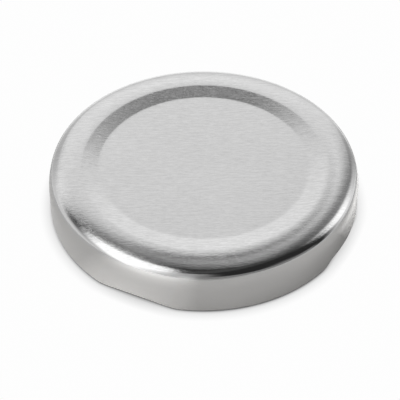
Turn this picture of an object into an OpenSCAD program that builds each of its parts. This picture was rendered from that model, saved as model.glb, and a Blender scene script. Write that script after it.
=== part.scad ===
// A wide twist-off lug closure for a 63 mm glass finish: a shell pressed from one
// piece of tinplate, and the sealing compound that is flowed into its channel.
// Millimetres, +Z up. The origin is on the axis, in the plane that the rim rests on.

/* [Shell] */
// Outside diameter of the skirt
cap_d = 66.2; // [65:0.1:84]
// Overall height, from the resting plane to the crest of the ring
cap_h = 10.8; // [9.4:0.1:14]
// Thickness of the tinplate
sheet_t = 0.18; // [0.14:0.01:0.28]

/* [Panel and ring] */
// Diameter of the flat centre panel
panel_d = 44; // [30:0.5:45]
// Depth of the panel below the crest of the ring
panel_recess = 0.55; // [0.3:0.05:0.9]
// Width of the sloping band between the panel and the crest of the ring
band_w = 4.6; // [4.3:0.1:5.2]
// Outside radius of the two bends that bound the band
band_bend_r = 5; // [3:0.5:5]
// Outside radius of the ring's dome, from its crest outwards
ring_dome_r = 22; // [18:1:40]

/* [Shoulder] */
// Outside radius of the brow, where the ring starts to turn down
brow_r = 4.5; // [3:0.5:6]
// Tilt of the sheet where the brow ends
brow_tilt = 24; // [18:1:32]
// Outside radius of the shoulder
shoulder_r = 1.3; // [0.9:0.1:2]
// Tilt of the sheet, from upright, where the shoulder ends
ease_angle = 18; // [12:1:22]
// Outside radius that eases the shoulder into the straight skirt
ease_r = 10; // [7:1:13]

/* [Rim] */
// Outside diameter of the curled rim, across its section
curl_d = 1.7; // [1.6:0.05:2]
// Width of the flat that the curl rests on
curl_flat = 0.1; // [0.05:0.05:0.3]
// Angle that the edge of the sheet is rolled through
curl_turn = 300; // [285:5:305]

/* [Lugs] */
// Number of lugs
lug_count = 4; // [3:1:6]
// Direction of the first lug, seen from above
lug_azimuth = 65; // [0:5:85]
// Distance that the skirt is drawn in at the middle of a lug, half way up the lug
lug_draw_in = 1.15; // [0.8:0.05:1.5]
// Height above the resting plane from which the skirt is drawn in
lug_draw_h = 2; // [1.7:0.1:3.5]
// Radius, seen from above, that blends the drawn-in flat into the round skirt
lug_blend_r = 4; // [2:0.5:12]
// Thickness of the flattened lug
lug_t = 0.9; // [0.7:0.05:1.1]
// Width of the lug's flat underside, from its heel to its fold
lug_reach = 1.7; // [1:0.1:2]
// Angle, seen from above, over which the lug keeps its full reach
lug_full_angle = 17; // [12:1:20]
// Angle, seen from above, over which each end of the lug falls back to the curl
lug_end_angle = 6; // [4:1:8]
// Height of the lug's underside above the resting plane
lug_lift = 0.1; // [0:0.02:0.3]

/* [Sealing ring] */
// Distance that the compound reaches inwards from the crest of the ring
seal_in = 1.6; // [1.1:0.1:2.6]
// Thickness of the compound under the crest of the ring
seal_t = 0.95; // [0.7:0.05:1.3]
// Radius of the compound's rounded inner edge
seal_edge_r = 3; // [2:0.5:5]
// Radius of the fillet where the compound climbs the skirt
seal_fillet_r = 0.8; // [0.4:0.1:1.2]
// Gap between the compound and the sheet that it is bonded to
bond_gap = 0.05; // [0.05:0.01:0.1]

/* [Hidden] */
$fn = 180;
tin = [0.78, 0.78, 0.77];
compound = [0.86, 0.85, 0.8];

cap_r = cap_d / 2;
curl_r = curl_d / 2;
panel_r = panel_d / 2;
crest_r = panel_r + band_w;

// The band is the common tangent of its two bends, whose centres are bend_span apart.
bend_rise = 2 * band_bend_r - panel_recess;
bend_span = sqrt(pow(band_w, 2) + pow(bend_rise, 2));
band_angle = asin(2 * band_bend_r / bend_span) - atan2(bend_rise, band_w);
band_run = sqrt(pow(bend_span, 2) - pow(2 * band_bend_r, 2));

// The dome ends where the brow is tangent to it, at a radius that lets the brow, the
// shoulder and the easing radius end on the skirt.
brow_out = brow_r * sin(brow_tilt);
shoulder_out = shoulder_r * (cos(ease_angle) - sin(brow_tilt));
ease_out = ease_r * (1 - cos(ease_angle));
brow_share = brow_r / ring_dome_r;
dome_end_r = (cap_r - brow_out - shoulder_out - ease_out - brow_share * crest_r) / (1 - brow_share);
dome_tilt = asin((dome_end_r - crest_r) / ring_dome_r);

// A pose on the sheet's outer surface is [radius, height, heading], and the sheet lies to
// the right of the heading. A run along it is [radius, turn], where a turn to the right is
// negative, or [0, length] where it is straight.
function run_centre(pose, run) =
    let (side = sign(run[1]) * run[0])
    [pose[0] - side * sin(pose[2]), pose[1] + side * cos(pose[2])];
function straight_end(pose, length) =
    [pose[0] + length * cos(pose[2]), pose[1] + length * sin(pose[2]), pose[2]];
function arc_end(pose, run, share) =
    let (
        side = sign(run[1]) * run[0],
        heading = pose[2] + share * run[1],
        centre = run_centre(pose, run)
    )
    [centre[0] + side * sin(heading), centre[1] - side * cos(heading), heading];
function run_end(pose, run, share = 1) =
    run[0] == 0 ? straight_end(pose, share * run[1]) : arc_end(pose, run, share);
function run_poses(pose, runs, i = 0) =
    i == len(runs) ? [pose] : concat([pose], run_poses(run_end(pose, runs[i]), runs, i + 1));
function over(pose) = [pose[0], pose[1]];
function under(pose, depth) = [pose[0] + depth * sin(pose[2]), pose[1] - depth * cos(pose[2])];

// The crown is the band, the ring and the shoulder, from just inside the flat panel's edge
// down to the straight skirt.
panel_lap = 1;
CROWN_RUNS = [
    [0, panel_lap],
    [band_bend_r, band_angle],
    [0, band_run],
    [band_bend_r, -band_angle],
    [ring_dome_r, -dome_tilt],
    [brow_r, dome_tilt - brow_tilt],
    [shoulder_r, brow_tilt + ease_angle - 90],
    [ease_r, -ease_angle]
];
BAND_START = 2;
EASE_START = 7;
crown_poses = run_poses([panel_r - panel_lap, cap_h - panel_recess, 0], CROWN_RUNS);
skirt_top = crown_poses[len(CROWN_RUNS)];

// Seen from above, a lug's flat chord is blended into the round skirt by an arc.
chord_r = cap_r - lug_draw_in;
blend_centre_r = cap_r - lug_blend_r;
blend_end_angle = acos((chord_r - lug_blend_r) / blend_centre_r);
chord_end_angle = atan2(blend_centre_r * sin(blend_end_angle), chord_r);
function blend_r(angle) =
    let (along = blend_centre_r * cos(blend_end_angle - abs(angle)))
    along + sqrt(pow(along, 2) - pow(blend_centre_r, 2) + pow(lug_blend_r, 2));
function plan_r(angle) =
    abs(angle) <= chord_end_angle ? chord_r / cos(angle)
    : abs(angle) < blend_end_angle ? blend_r(angle)
    : cap_r;
lug_half_angle = max(blend_end_angle, lug_full_angle / 2 + lug_end_angle);

// The skirt is upright down to lug_draw_h, and leans in from there, slowly at first.
lean_start = 0.15;
lean_h = lug_draw_h - lug_t / 2;
function lean_depth(z) = (lug_draw_h - z) / lean_h;
function lean_share(z) =
    let (s = lean_depth(z))
    (1 + lean_start) * pow(s, 2) / (s + lean_start);
function lean_angle(inward, z) =
    let (s = lean_depth(z))
    atan(inward / lean_h * (1 + lean_start) * s * (s + 2 * lean_start) / pow(s + lean_start, 2));

// How far the curl is pressed flat at an angle from the middle of a lug, from 0 to 1.
function between(low, high, share) = low + (high - low) * share;
function pressed(angle) =
    let (s = (lug_full_angle / 2 + lug_end_angle - abs(angle)) / lug_end_angle)
    s <= 0 ? 0 : s >= 1 ? 1 : s * s * (3 - 2 * s);

// The rolled edge keeps its length as it is pressed flat, and what the fold doesn't use
// stays as a hem above it.
arc_length = PI / 180;
rolled_length = curl_turn * arc_length * (curl_r - sheet_t / 2) + 2 * curl_flat;
lean_steps = 2;
heel_steps = 3;
fold_steps = 6;
// The hem keeps this last part of the roll, in degrees, where the lug is fully flat.
hem_tuck = 8;
function wall_poses(inward, heel_z) = [
    skirt_top,
    for (i = [0 : lean_steps - 1])
        let (z = between(lug_draw_h, heel_z, i / lean_steps))
        [cap_r - inward * lean_share(z), z, -90 - lean_angle(inward, z)]
];
function roll_poses(heel, fold_r, reach, hem, last_turn) =
    let (
        flat_start = arc_end(heel, [fold_r, -180 - heel[2]], 1),
        fold_start = straight_end(flat_start, reach),
        hem_start = arc_end(fold_start, [fold_r, -180], 1),
        hem_end = straight_end(hem_start, hem)
    )
    [
        for (i = [0 : heel_steps]) arc_end(heel, [fold_r, -180 - heel[2]], i / heel_steps),
        for (i = [0 : fold_steps]) arc_end(fold_start, [fold_r, -180], i / fold_steps),
        hem_end,
        arc_end(hem_end, [fold_r, -last_turn], 1)
    ];
function rim_poses(angle) =
    let (
        share = pressed(angle),
        inward = cap_r - plan_r(angle),
        fold_r = between(curl_r, lug_t / 2, share),
        lean = lean_angle(inward, fold_r),
        heel_z = lug_lift * share + fold_r * (1 - sin(lean)),
        reach = between(curl_flat, lug_reach, share),
        last_turn = between(curl_turn - 270, hem_tuck, share),
        arcs = (270 - lean + last_turn) * arc_length * (fold_r - sheet_t / 2),
        heel = [cap_r - inward * lean_share(heel_z), heel_z, -90 - lean]
    )
    concat(
        wall_poses(inward, heel_z),
        roll_poses(heel, fold_r, reach, rolled_length - arcs - reach, last_turn)
    );

// Directions of the sheet's sections, twice as close together along a lug as between two.
section_count = 96;
pitch = 360 / lug_count;
pitch_steps = round(section_count / lug_count);
lug_steps = round(pitch_steps * 2 * lug_half_angle / (pitch + 2 * lug_half_angle));
plain_steps = pitch_steps - 2 * lug_steps;
function section_angle(i) =
    i < lug_steps ? lug_half_angle * i / lug_steps
    : between(lug_half_angle, pitch - lug_half_angle, (i - lug_steps) / plain_steps);
section_angles = [for (i = [-lug_steps : lug_steps + plain_steps - 1]) section_angle(i)];

// The compound lies in the channel under the ring. Its free face is flat, rounds off to
// the band on the inside, and climbs the shell on the outside in a fillet.
seal_depth = sheet_t + bond_gap;
seal_z = cap_h - seal_depth - seal_t;
feather_r = crest_r - seal_in;
band_foot = under(crown_poses[BAND_START], seal_depth);
feather_h = band_foot[1] + (feather_r - band_foot[0]) * tan(band_angle) - seal_z;
seal_face_r = feather_r + sqrt(pow(seal_edge_r, 2) - pow(seal_edge_r - feather_h, 2));
ease_centre = run_centre(crown_poses[EASE_START], CROWN_RUNS[EASE_START]);
fillet_z = seal_z - seal_fillet_r;
fillet_reach = ease_r - seal_depth - seal_fillet_r;
fillet_angle = asin((fillet_z - ease_centre[1]) / fillet_reach);
fillet_centre = ease_centre + fillet_reach * [cos(fillet_angle), sin(fillet_angle)];

// The crown's line from the panel to the skirt, with its arcs in steps of up to arc_step.
arc_step = 10;
function arc_steps(turn, step) = ceil(abs(turn) / step);
crown_line = [
    crown_poses[0],
    for (i = [0 : len(CROWN_RUNS) - 1])
        let (run = CROWN_RUNS[i], steps = run[0] == 0 ? 1 : arc_steps(run[1], arc_step))
        for (k = [1 : steps]) run_end(crown_poses[i], run, k / steps)
];
crown_steps = len(crown_line) - 1;

// A section of the sheet: out along its upper side and back along its lower.
function sheet_poses(angle) = concat(
    [for (i = [0 : crown_steps - 1]) crown_line[i]],
    rim_poses(angle)
);
function sheet_section(poses) = concat(
    [for (pose = poses) over(pose)],
    [for (i = [len(poses) - 1 : -1 : 0]) under(poses[i], sheet_t)]
);

// A closed loft through a ring of sections that hold equally many points.
module ring_loft(sections) {
    rows = len(sections);
    count = len(sections[0]);
    polyhedron(
        [for (section = sections) each section],
        [
            for (i = [0 : rows - 1], j = [0 : count - 1])
                let (k = (j + 1) % count, a = i * count, b = (i + 1) % rows * count)
                each [[a + j, b + j, b + k], [a + j, b + k, a + k]]
        ]
    );
}
function around(point, angle) = [point[0] * cos(angle), point[0] * sin(angle), point[1]];

module panel() {
    translate([0, 0, cap_h - panel_recess - sheet_t])
        cylinder(h = sheet_t, r = panel_r - panel_lap / 2);
}

// The ring, the skirt and the curl that is pressed into lugs.
module formed_edge() {
    ring_loft([
        for (i = [0 : lug_count - 1], angle = section_angles)
            let (direction = lug_azimuth + i * pitch + angle)
            [for (point = sheet_section(sheet_poses(angle))) around(point, direction)]
    ]);
}

module shell() {
    color(tin) {
        panel();
        formed_edge();
    }
}

// Everything below the bond and above the end of the skirt.
module crown_fill() {
    bond_line = [for (pose = crown_line) under(pose, seal_depth)];
    polygon(concat([[bond_line[0][0], skirt_top[1]]], bond_line));
}

// Everything above the compound's free face.
face_step = 5;
function arc_points(centre, radius, start, turn) =
    let (steps = arc_steps(turn, face_step))
    [
        for (i = [0 : steps])
            let (angle = start + turn * i / steps)
            centre + radius * [cos(angle), sin(angle)]
    ];
module above_seal() {
    edge_centre = [seal_face_r, seal_z + seal_edge_r];
    outside = fillet_centre + 2 * seal_fillet_r * [cos(fillet_angle), sin(fillet_angle)];
    polygon(concat(
        [outside],
        arc_points(fillet_centre, seal_fillet_r, fillet_angle, 90 - fillet_angle),
        arc_points(edge_centre, seal_edge_r, 270, -90),
        [[outside[0], edge_centre[1]]]
    ));
}

module sealing_ring() {
    color(compound)
        rotate_extrude()
            intersection() {
                crown_fill();
                above_seal();
            }
}

shell();
sealing_ring();
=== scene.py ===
"""A pressed tinplate twist-off cap, lying on its rim on a white floor in studio light."""

import math

import bpy
import numpy as np
from mathutils import Matrix, Vector


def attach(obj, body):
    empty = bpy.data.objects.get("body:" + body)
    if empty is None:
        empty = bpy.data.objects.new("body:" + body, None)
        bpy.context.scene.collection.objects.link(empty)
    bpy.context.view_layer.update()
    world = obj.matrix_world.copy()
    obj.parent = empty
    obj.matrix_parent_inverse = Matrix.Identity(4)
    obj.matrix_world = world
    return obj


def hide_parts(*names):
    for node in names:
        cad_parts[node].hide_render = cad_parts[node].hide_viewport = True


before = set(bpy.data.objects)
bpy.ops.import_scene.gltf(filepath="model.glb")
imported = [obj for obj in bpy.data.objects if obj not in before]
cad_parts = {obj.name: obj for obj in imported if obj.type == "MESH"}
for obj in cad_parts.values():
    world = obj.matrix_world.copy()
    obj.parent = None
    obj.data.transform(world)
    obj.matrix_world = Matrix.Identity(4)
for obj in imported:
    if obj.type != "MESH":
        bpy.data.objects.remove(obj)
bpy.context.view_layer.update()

MM = 0.001

# Sizes in millimetres, as in the part's source.
CAP_R = 33.1
CAP_H = 10.8
SHEET_T = 0.18
PANEL_R = 22.0
PANEL_RECESS = 0.55
BAND_W = 4.6
BAND_BEND_R = 5.0
DOME_R = 22.0
BROW_R = 4.5
BROW_TILT = 24.0
SHOULDER_R = 1.3
EASE_ANGLE = 18.0
EASE_R = 10.0
CURL_R = 0.85
CURL_FLAT = 0.1
CURL_TURN = 300.0
LUG_COUNT = 4
LUG_AZIMUTH = 65.0
LUG_DRAW_IN = 1.15
LUG_BLEND_R = 4.0
LUG_DRAW_H = 2.0
LUG_T = 0.9
LUG_REACH = 1.7
LUG_FULL_ANGLE = 17.0
LUG_END_ANGLE = 6.0
LUG_LIFT = 0.1
HEM_TUCK = 8.0
LEAN_START = 0.15

# Fineness of the shown mesh.
ARC_STEP = 2.5
WALL_STEPS = 4
LEAN_STEPS = 10
HEEL_STEPS = 10
FOLD_STEPS = 16
LUG_STEPS = 30
PLAIN_STEPS = 32


# ---------------------------------------------------------------- the sheet's section


def sin(angle):
    return math.sin(math.radians(angle))


def cos(angle):
    return math.cos(math.radians(angle))


def between(low, high, share):
    return low + (high - low) * share


def run_end(pose, radius, turn, share=1.0):
    """Where an arc of the sheet ends; a pose is radius, height and heading."""
    r, z, heading = pose
    side = math.copysign(radius, turn)
    centre_r = r - side * sin(heading)
    centre_z = z + side * cos(heading)
    heading += turn * share
    return (centre_r + side * sin(heading), centre_z - side * cos(heading), heading)


def straight_end(pose, length):
    r, z, heading = pose
    return (r + length * cos(heading), z + length * sin(heading), heading)


def arc(pose, radius, turn, steps):
    return [run_end(pose, radius, turn, (i + 1) / steps) for i in range(steps)]


def crown_poses():
    """The sheet's upper side from just inside the panel's edge to the straight skirt."""
    crest_r = PANEL_R + BAND_W
    rise = 2 * BAND_BEND_R - PANEL_RECESS
    span = math.hypot(BAND_W, rise)
    band_angle = math.degrees(math.asin(2 * BAND_BEND_R / span) - math.atan2(rise, BAND_W))
    band_run = math.sqrt(span**2 - (2 * BAND_BEND_R) ** 2)
    brow_out = BROW_R * sin(BROW_TILT)
    shoulder_out = SHOULDER_R * (cos(EASE_ANGLE) - sin(BROW_TILT))
    ease_out = EASE_R * (1 - cos(EASE_ANGLE))
    brow_share = BROW_R / DOME_R
    dome_end_r = CAP_R - brow_out - shoulder_out - ease_out - brow_share * crest_r
    dome_end_r /= 1 - brow_share
    dome_tilt = math.degrees(math.asin((dome_end_r - crest_r) / DOME_R))
    runs = [
        (BAND_BEND_R, band_angle),
        (None, band_run),
        (BAND_BEND_R, -band_angle),
        (DOME_R, -dome_tilt),
        (BROW_R, dome_tilt - BROW_TILT),
        (SHOULDER_R, BROW_TILT + EASE_ANGLE - 90),
        (EASE_R, -EASE_ANGLE),
    ]
    poses = [(PANEL_R - 0.3, CAP_H - PANEL_RECESS, 0.0), (PANEL_R, CAP_H - PANEL_RECESS, 0.0)]
    for radius, turn in runs:
        if radius is None:
            start = poses[-1]
            poses += [straight_end(start, turn * share) for share in (0.05, 0.95, 1.0)]
        else:
            poses += arc(poses[-1], radius, turn, math.ceil(abs(turn) / ARC_STEP))
    return poses


CROWN = crown_poses()
SKIRT_TOP = CROWN[-1][1]

CHORD_R = CAP_R - LUG_DRAW_IN
BLEND_CENTRE_R = CAP_R - LUG_BLEND_R
BLEND_END = math.degrees(math.acos((CHORD_R - LUG_BLEND_R) / BLEND_CENTRE_R))
CHORD_END = math.degrees(math.atan2(BLEND_CENTRE_R * sin(BLEND_END), CHORD_R))
LUG_HALF = max(BLEND_END, LUG_FULL_ANGLE / 2 + LUG_END_ANGLE)
LEAN_H = LUG_DRAW_H - LUG_T / 2
ROLLED = math.radians(CURL_TURN) * (CURL_R - SHEET_T / 2) + 2 * CURL_FLAT


def plan_r(angle):
    """The drawn-in skirt's radius at an angle from the middle of a lug."""
    angle = abs(angle)
    if angle <= CHORD_END:
        return CHORD_R / cos(angle)
    if angle < BLEND_END:
        along = BLEND_CENTRE_R * cos(BLEND_END - angle)
        return along + math.sqrt(along**2 - BLEND_CENTRE_R**2 + LUG_BLEND_R**2)
    return CAP_R


def lean_share(z):
    s = (LUG_DRAW_H - z) / LEAN_H
    return (1 + LEAN_START) * s**2 / (s + LEAN_START)


def lean_angle(inward, z):
    s = (LUG_DRAW_H - z) / LEAN_H
    slope = (1 + LEAN_START) * s * (s + 2 * LEAN_START) / (s + LEAN_START) ** 2
    return math.degrees(math.atan(inward / LEAN_H * slope))


def pressed(angle):
    """How far the curl is pressed flat, from 0 to 1."""
    s = (LUG_FULL_ANGLE / 2 + LUG_END_ANGLE - abs(angle)) / LUG_END_ANGLE
    s = min(max(s, 0.0), 1.0)
    return s * s * (3 - 2 * s)


def rim_poses(angle):
    """The sheet from the top of the straight skirt to its rolled edge."""
    share = pressed(angle)
    inward = CAP_R - plan_r(angle)
    fold_r = between(CURL_R, LUG_T / 2, share)
    lean = lean_angle(inward, fold_r)
    heel_z = LUG_LIFT * share + fold_r * (1 - sin(lean))
    reach = between(CURL_FLAT, LUG_REACH, share)
    last_turn = between(CURL_TURN - 270, HEM_TUCK, share)
    arcs = math.radians(270 - lean + last_turn) * (fold_r - SHEET_T / 2)
    poses = []
    for i in range(WALL_STEPS):
        poses.append((CAP_R, between(SKIRT_TOP, LUG_DRAW_H, i / WALL_STEPS), -90.0))
    for i in range(LEAN_STEPS):
        z = between(LUG_DRAW_H, heel_z, i / LEAN_STEPS)
        poses.append((CAP_R - inward * lean_share(z), z, -90 - lean_angle(inward, z)))
    heel = (CAP_R - inward * lean_share(heel_z), heel_z, -90 - lean)
    poses += [heel] + arc(heel, fold_r, lean - 90, HEEL_STEPS)
    poses.append(straight_end(poses[-1], reach))
    poses += arc(poses[-1], fold_r, -180, FOLD_STEPS)
    poses.append(straight_end(poses[-1], ROLLED - arcs - reach))
    poses += arc(poses[-1], fold_r, -last_turn, 2)
    return poses


# ---------------------------------------------------------------- the shown meshes


def section_directions():
    """Angle round the cap, and angle from the middle of the nearest lug, of each section."""
    pitch = 360 / LUG_COUNT
    local = [LUG_HALF * i / LUG_STEPS for i in range(-LUG_STEPS, LUG_STEPS)]
    local += [
        between(LUG_HALF, pitch - LUG_HALF, i / PLAIN_STEPS) for i in range(PLAIN_STEPS)
    ]
    return [
        (LUG_AZIMUTH + k * pitch + angle, angle if angle <= LUG_HALF else LUG_HALF)
        for k in range(LUG_COUNT)
        for angle in local
    ]


def shell_mesh():
    """The shell as one closed mesh, with its place on the flat sheet kept at each point."""
    verts, sheet, faces, sides = [], [], [], []
    directions = section_directions()
    for direction, angle in directions:
        poses = CROWN[:-1] + rim_poses(angle)
        c, s = cos(direction), sin(direction)
        run = [poses[0][0]]
        for a, b in zip(poses, poses[1:]):
            run.append(run[-1] + math.hypot(b[0] - a[0], b[1] - a[1]))
        for (r, z, _), along in zip(poses, run):
            verts.append((r * c * MM, r * s * MM, z * MM))
            sheet.append((along * c, along * s, 0.0))
        for (r, z, heading), along in zip(reversed(poses), reversed(run)):
            inner_r = r + SHEET_T * sin(heading)
            inner_z = z - SHEET_T * cos(heading)
            verts.append((inner_r * c * MM, inner_r * s * MM, inner_z * MM))
            sheet.append((along * c, along * s, 1.0))
    count = len(verts) // len(directions)
    half = count // 2
    rows = len(directions)
    for i in range(rows):
        a, b = i * count, (i + 1) % rows * count
        for j in range(count - 1):
            faces.append((a + j, a + j + 1, b + j + 1, b + j))
            sides.append(0 if j < half - 1 else 2 if j == half - 1 else 1)
    faces.append(tuple(i * count for i in range(rows)))
    sides.append(0)
    faces.append(tuple((i + 1) * count - 1 for i in reversed(range(rows))))
    sides.append(1)
    mesh = bpy.data.meshes.new("shell_skin")
    mesh.from_pydata(verts, [], faces)
    place = mesh.attributes.new("sheet", "FLOAT_VECTOR", "POINT")
    place.data.foreach_set("vector", np.array(sheet, np.float32).ravel())
    mesh.polygons.foreach_set("material_index", np.array(sides, np.int32))
    mesh.shade_smooth()
    mesh.set_sharp_from_angle(angle=math.radians(40))
    mesh.validate()
    return mesh


def add_piece(mesh):
    piece = bpy.data.objects.new(mesh.name, mesh)
    bpy.context.scene.collection.objects.link(piece)
    return piece


# ---------------------------------------------------------------- materials


# Most of a noise texture's values lie in this range.
NOISE_RANGE = (0.3, 0.7)


class Graph:
    """Short calls for building one node tree."""

    def __init__(self, tree):
        self.tree = tree
        self.nodes = tree.nodes
        self.nodes.clear()

    def link(self, source, target):
        self.tree.links.new(source, target)

    def give(self, socket, value):
        if isinstance(value, bpy.types.NodeSocket):
            self.link(value, socket)
        else:
            socket.default_value = value

    def node(self, kind, **settings):
        made = self.nodes.new(kind)
        for name, value in settings.items():
            setattr(made, name, value)
        return made

    def math(self, operation, a, b=0.0, clamp=False):
        made = self.node("ShaderNodeMath", operation=operation, use_clamp=clamp)
        self.give(made.inputs[0], a)
        self.give(made.inputs[1], b)
        return made.outputs[0]

    def ramp(self, value, low, high, start=0.0, end=1.0, kind="SMOOTHSTEP"):
        made = self.node("ShaderNodeMapRange", interpolation_type=kind)
        for name, given in zip(
            ("Value", "From Min", "From Max", "To Min", "To Max"), (value, low, high, start, end)
        ):
            self.give(made.inputs[name], given)
        return made.outputs["Result"]

    def mix(self, share, a, b):
        """a where share is 0, b where it is 1."""
        rest = self.math("SUBTRACT", 1.0, share)
        return self.math("ADD", self.math("MULTIPLY", a, rest), self.math("MULTIPLY", b, share))

    def between(self, share, start, end):
        """start where share is 0, end where it is 1, from plain numbers."""
        return self.ramp(share, 0.0, 1.0, start, end, "LINEAR")

    def spread(self, noise, start, end):
        """A noise's usual range, laid out from start to end."""
        return self.ramp(noise, *NOISE_RANGE, start, end, "LINEAR")

    def noise(self, place, scale, detail=2.0, roughness=0.5):
        made = self.node("ShaderNodeTexNoise")
        self.link(place, made.inputs["Vector"])
        made.inputs["Scale"].default_value = scale
        made.inputs["Detail"].default_value = detail
        made.inputs["Roughness"].default_value = roughness
        return made.outputs["Fac"]

    def stretched(self, place, scale):
        made = self.node("ShaderNodeMapping")
        self.link(place, made.inputs["Vector"])
        made.inputs["Scale"].default_value = scale
        return made.outputs["Vector"]


def new_material(name):
    material = bpy.data.materials.new(name)
    material.use_nodes = True
    return material, Graph(material.node_tree)


def finish_surface(graph, shader):
    output = graph.node("ShaderNodeOutputMaterial")
    graph.link(shader.outputs[0], output.inputs["Surface"])


def grey_colour(graph, value, tint=(1.0, 1.0, 1.0)):
    """A colour from one value, tinted."""
    made = graph.node("ShaderNodeCombineColor")
    for socket, share in zip(made.inputs, tint):
        graph.link(graph.math("MULTIPLY", value, share), socket)
    return made.outputs[0]


# The lacquer and the compound are both a little yellow.
CREAM = (1.0, 0.985, 0.93)

# The brushing: noise cells to a millimetre of the flat sheet, along the grain, across it and
# from one side of the sheet to the other, and the depth of its ridges.
COARSE_GRAIN = (0.34, 1.9, 1.0)
FINE_GRAIN = (0.9, 4.8, 1.0)
CLOUDS = (0.05, 0.09, 1.0)
GRAIN_DEPTH = 0.026

# Heights between which the drawn skirt gives way to the brushed top: for the metal's
# smoothness and colour, and for the grain, which the shoulder's bend has stretched away.
SMOOTH_Z = (8.2, 10.1)
GRAIN_Z = (9.4, 10.6)


def tinplate():
    """Bright tinplate, brushed along X before it was pressed."""
    material, g = new_material("tinplate_outside")
    place = g.node("ShaderNodeAttribute", attribute_name="sheet").outputs["Vector"]
    shape = g.node("ShaderNodeTexCoord").outputs["Object"]
    split = g.node("ShaderNodeSeparateXYZ")
    g.link(shape, split.inputs[0])
    height = split.outputs["Z"]
    flat = g.ramp(height, SMOOTH_Z[0] * MM, SMOOTH_Z[1] * MM)
    coarse = g.noise(g.stretched(place, COARSE_GRAIN), 1.0, 3.0, 0.6)
    fine = g.noise(g.stretched(place, FINE_GRAIN), 1.0, 3.0, 0.65)
    cloud = g.noise(g.stretched(place, CLOUDS), 1.0, 2.0, 0.5)
    streak = g.math("ADD", g.math("MULTIPLY", coarse, 0.5), g.math("MULTIPLY", fine, 0.5))

    def grain_share(start, end):
        return g.ramp(height, GRAIN_Z[0] * MM, GRAIN_Z[1] * MM, start, end)

    shader = g.node("ShaderNodeBsdfPrincipled")
    shade = g.math("MULTIPLY", g.spread(streak, -1.0, 1.0), grain_share(0.02, 0.14))
    tone = g.math("ADD", shade, g.spread(cloud, 0.835, 0.86))
    # The skirt is a little warmer than the top.
    tint = (1.0, g.ramp(flat, 0.0, 1.0, 0.987, 0.999), g.ramp(flat, 0.0, 1.0, 0.967, 0.999))
    g.link(grey_colour(g, tone, tint), shader.inputs["Base Color"])
    shader.inputs["Metallic"].default_value = 1.0
    rough = g.math("ADD", g.spread(streak, -0.02, 0.02), g.between(flat, 0.15, 0.09))
    g.link(rough, shader.inputs["Roughness"])
    bump = g.node("ShaderNodeBump")
    bump.inputs["Strength"].default_value = 1.0
    bump.inputs["Distance"].default_value = GRAIN_DEPTH * MM
    ridge = g.math("ADD", g.math("MULTIPLY", coarse, 0.35), g.math("MULTIPLY", fine, 0.5))
    g.link(g.math("MULTIPLY", ridge, grain_share(0.25, 1.0)), bump.inputs["Height"])
    g.link(bump.outputs[0], shader.inputs["Normal"])
    finish_surface(g, shader)
    return material


def lacquer():
    """The inside of the sheet, under a clear lacquer that has yellowed the tin a little."""
    material, g = new_material("tinplate_inside")
    place = g.node("ShaderNodeAttribute", attribute_name="sheet").outputs["Vector"]
    cloud = g.noise(g.stretched(place, (0.12, 0.3, 1.0)), 1.0, 3.0, 0.55)
    shader = g.node("ShaderNodeBsdfPrincipled")
    tone = g.spread(cloud, 0.76, 0.82)
    g.link(grey_colour(g, tone, CREAM), shader.inputs["Base Color"])
    shader.inputs["Metallic"].default_value = 1.0
    g.link(g.spread(cloud, 0.26, 0.34), shader.inputs["Roughness"])
    finish_surface(g, shader)
    return material


def cut_edge():
    """The sheared edge of the sheet, where the steel shows under the tin."""
    material, g = new_material("cut_edge")
    shape = g.node("ShaderNodeTexCoord").outputs["Object"]
    shader = g.node("ShaderNodeBsdfPrincipled")
    tone = g.spread(g.noise(shape, 9000.0, 2.0), 0.38, 0.5)
    g.link(grey_colour(g, tone), shader.inputs["Base Color"])
    shader.inputs["Metallic"].default_value = 1.0
    shader.inputs["Roughness"].default_value = 0.5
    finish_surface(g, shader)
    return material


def compound():
    """Flowed-in sealing compound, smooth with a faint skin."""
    material, g = new_material("sealing_compound")
    shape = g.node("ShaderNodeTexCoord").outputs["Object"]
    cloud = g.noise(shape, 260.0, 3.0)
    pores = g.noise(shape, 2600.0, 3.0, 0.6)
    shader = g.node("ShaderNodeBsdfPrincipled")
    tone = g.spread(cloud, 0.8, 0.86)
    g.link(grey_colour(g, tone, CREAM), shader.inputs["Base Color"])
    g.link(g.spread(pores, 0.38, 0.5), shader.inputs["Roughness"])
    bump = g.node("ShaderNodeBump")
    bump.inputs["Strength"].default_value = 0.25
    bump.inputs["Distance"].default_value = 0.02 * MM
    g.link(pores, bump.inputs["Height"])
    g.link(bump.outputs[0], shader.inputs["Normal"])
    finish_surface(g, shader)
    return material


# ---------------------------------------------------------------- the studio


# White as the camera sees it, and the paper's own tone, by itself and as the metal shows it.
WHITE = 0.987
PAPER = 0.8
PAPER_IN_METAL = 0.92
# Painted pools of light on the paper, which only the metal's reflections show: the azimuth of a
# patch's middle, the two distances from the axis between which it changes, and what it adds to
# the paper's tone at each of them. A patch ends where the cosine of the angle from its middle is
# GLOW_EDGE.
PAINTED_PAPER_GLOWS = [(242.0, 40.0, 72.0, 0.45, 1.15), (4.0, 38.0, 46.0, 1.5, 0.0)]
GLOW_EDGE = 0.9
# The shadow that the camera sees, in layers: the reach of each, and its strength as a power.
SHADOWS = [(2.7, 0.4), (0.7, 0.4), (0.3, 0.65)]
# The paper is a small sheet, and past it the world goes on.
FLOOR_HALF = 72.0


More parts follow.
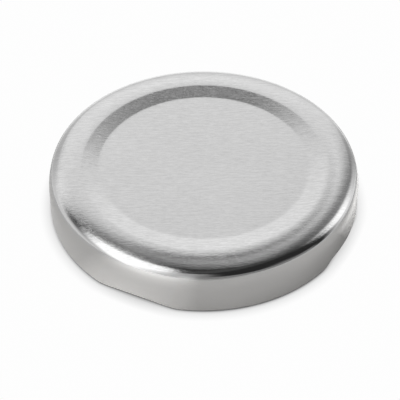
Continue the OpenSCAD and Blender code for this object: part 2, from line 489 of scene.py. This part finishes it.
def floor_material():
    """White paper. The camera sees plain white, less the shadow that gathers at the cap."""
    material, g = new_material("floor_white")
    rays = g.node("ShaderNodeLightPath").outputs
    place = g.node("ShaderNodeTexCoord").outputs["Object"]
    away = g.node("ShaderNodeVectorMath", operation="NORMALIZE")
    g.link(place, away.inputs[0])
    distance = g.node("ShaderNodeVectorMath", operation="LENGTH")
    g.link(place, distance.inputs[0])
    paper_tone_with_painted_light = PAPER_IN_METAL
    # Painted pools of light, added to the paper's tone where the metal's reflections see it.
    for azimuth, near, far, start, end in PAINTED_PAPER_GLOWS:
        towards = g.node("ShaderNodeVectorMath", operation="DOT_PRODUCT")
        g.link(away.outputs[0], towards.inputs[0])
        towards.inputs[1].default_value = (cos(azimuth), sin(azimuth), 0.0)
        painted_glow = g.ramp(distance.outputs["Value"], near * MM, far * MM, start, end)
        painted_glow = g.ramp(towards.outputs["Value"], GLOW_EDGE, 1.0, 0.0, painted_glow, "LINEAR")
        paper_tone_with_painted_light = g.math("ADD", paper_tone_with_painted_light, painted_glow)
    paper = g.node("ShaderNodeBsdfDiffuse")
    tone = g.mix(rays["Is Glossy Ray"], PAPER, paper_tone_with_painted_light)
    g.link(grey_colour(g, tone), paper.inputs["Color"])
    shade = WHITE
    for reach, power in SHADOWS:
        open_share = g.node("ShaderNodeAmbientOcclusion", samples=8)
        open_share.inputs["Distance"].default_value = reach * MM
        shade = g.math("MULTIPLY", shade, g.math("POWER", open_share.outputs["AO"], power))
    shown = g.node("ShaderNodeEmission")
    shown.inputs["Color"].default_value = (1.0, 1.0, 1.0, 1.0)
    g.link(shade, shown.inputs["Strength"])
    both = g.node("ShaderNodeMixShader")
    g.link(rays["Is Camera Ray"], both.inputs[0])
    g.link(paper.outputs[0], both.inputs[1])
    g.link(shown.outputs[0], both.inputs[2])
    finish_surface(g, both)
    return material


def add_floor():
    mesh = bpy.data.meshes.new("floor")
    h = FLOOR_HALF * MM
    mesh.from_pydata([(-h, -h, 0), (h, -h, 0), (h, h, 0), (-h, h, 0)], [], [(0, 1, 2, 3)])
    floor = add_piece(mesh)
    mesh.materials.append(floor_material())


# The studio as the metal shows it. Each panel is a soft rectangle in the world that covers
# those before it: the azimuth and elevation of its middle, its twist, its half width and
# half height as tangents, the softness of its edges, and its level.
# A least-squares program made the room's level and these rows, from tones of the
# photographed metal. Only the four levels from 1.18 to 1.24 and the whole last row, which
# keeps the camera's side from going black, were set one by one.
ROOM_LEVEL = 0.022
PANELS = [
    (107.3, -6.5, -14.6, 1.154, 1.317, 0.369, 1.596),
    (70.7, 40.1, 30.6, 0.473, 0.292, 0.266, 0.745),
    (177.8, -11.9, -31.9, 4.091, 0.830, 0.574, 0.653),
    (214.5, 26.9, 31.3, 0.270, 2.844, 0.200, 1.240),
    (235.1, 19.8, 19.3, 0.388, 5.000, 0.237, 1.220),
    (250.2, -7.5, -5.3, 0.265, 5.000, 0.447, 0.432),
    (24.8, -24.4, -4.1, 0.473, 3.381, 0.341, 0.748),
    (60.5, 36.3, -0.4, 0.105, 0.475, 0.086, 0.167),
    (31.3, 37.0, 48.2, 0.344, 0.137, 0.134, 1.180),
    (146.1, 74.1, 50.9, 0.360, 0.060, 0.040, 1.180),
    (57.8, 78.7, -4.3, 0.099, 0.419, 0.040, 0.061),
    (322.6, -10.4, 84.5, 1.200, 0.045, 0.323, 0.159),
    (89.8, 54.1, -2.8, 0.112, 0.040, 0.040, 0.039),
    (88.3, 10.4, 7.3, 0.655, 0.344, 0.471, 0.538),
    (121.6, 24.1, 29.8, 0.068, 0.574, 0.371, 0.369),
    (80.1, 49.2, -11.8, 0.040, 0.083, 0.056, 0.185),
    (306.0, 0.0, 0.0, 0.850, 0.360, 0.140, 0.220),
]


def light_world():
    """The studio's panels for the metal and the floor, and white for the camera."""
    world = bpy.data.worlds.new("studio")
    bpy.context.scene.world = world
    world.use_nodes = True
    g = Graph(world.node_tree)
    direction = g.node("ShaderNodeTexCoord").outputs["Generated"]

    def reading(axis):
        made = g.node("ShaderNodeVectorMath", operation="DOT_PRODUCT")
        g.link(direction, made.inputs[0])
        made.inputs[1].default_value = axis
        return made.outputs["Value"]

    level = ROOM_LEVEL
    for azimuth, elevation, twist, half_w, half_h, soft, panel_level in PANELS:
        out = cos(elevation)
        away = Vector((out * cos(azimuth), out * sin(azimuth), sin(elevation)))
        side = Vector((-sin(azimuth), cos(azimuth), 0.0))
        rise = away.cross(side)
        depth = g.math("MAXIMUM", reading(away), 0.001)
        share = g.ramp(reading(away), 0.02, 0.04)
        for axis, half in (
            (side * cos(twist) + rise * sin(twist), half_w),
            (rise * cos(twist) - side * sin(twist), half_h),
        ):
            offset = g.math("ABSOLUTE", g.math("DIVIDE", reading(axis), depth))
            share = g.math("MULTIPLY", share, g.ramp(offset, half - soft, half + soft, 1.0, 0.0))
        level = g.mix(share, level, panel_level)
    path = g.node("ShaderNodeLightPath")
    shown = g.mix(path.outputs["Is Camera Ray"], level, WHITE)
    background = g.node("ShaderNodeBackground")
    background.inputs["Color"].default_value = (1.0, 1.0, 1.0, 1.0)
    g.link(shown, background.inputs["Strength"])
    output = g.node("ShaderNodeOutputWorld")
    g.link(background.outputs[0], output.inputs["Surface"])


# The camera, from the photograph's perspective: its height above the horizon, its distance
# from the cap, its focal length, its roll, and where the cap's base centre is in the frame.
# The distance was chosen, as ten radii of the cap, and the rest fitted to its outlines.
FRAME_PX = 400
VIEW_ELEVATION = 43.39
VIEW_DISTANCE = 331.0
FOCAL_PX = 1521.3
VIEW_ROLL = 0.224
BASE_PX = (203.65, 199.74)


def add_camera():
    data = bpy.data.cameras.new("camera")
    data.sensor_width = 36.0
    data.sensor_height = 36.0
    data.sensor_fit = "HORIZONTAL"
    data.lens = data.sensor_width * FOCAL_PX / FRAME_PX
    data.shift_x = (FRAME_PX / 2 - BASE_PX[0]) / FRAME_PX
    data.shift_y = (BASE_PX[1] - FRAME_PX / 2) / FRAME_PX
    data.clip_start = 0.01
    camera = bpy.data.objects.new("camera", data)
    bpy.context.scene.collection.objects.link(camera)
    distance = VIEW_DISTANCE * MM
    eye = Vector((0.0, -distance * cos(VIEW_ELEVATION), distance * sin(VIEW_ELEVATION)))
    turn = (-eye).to_track_quat("-Z", "Y").to_matrix().to_4x4()
    roll = Matrix.Rotation(math.radians(VIEW_ROLL), 4, "Z")
    camera.matrix_world = Matrix.Translation(eye) @ turn @ roll
    bpy.context.scene.camera = camera


# ---------------------------------------------------------------- the scene

add_camera()

shell = add_piece(shell_mesh())
for material in (tinplate(), lacquer(), cut_edge()):
    shell.data.materials.append(material)
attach(shell, "root")
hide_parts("shell")

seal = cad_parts["sealing_ring"]
seal.data.materials.clear()
seal.data.materials.append(compound())

add_floor()
light_world()

view = bpy.context.scene.view_settings
view.view_transform = "Standard"
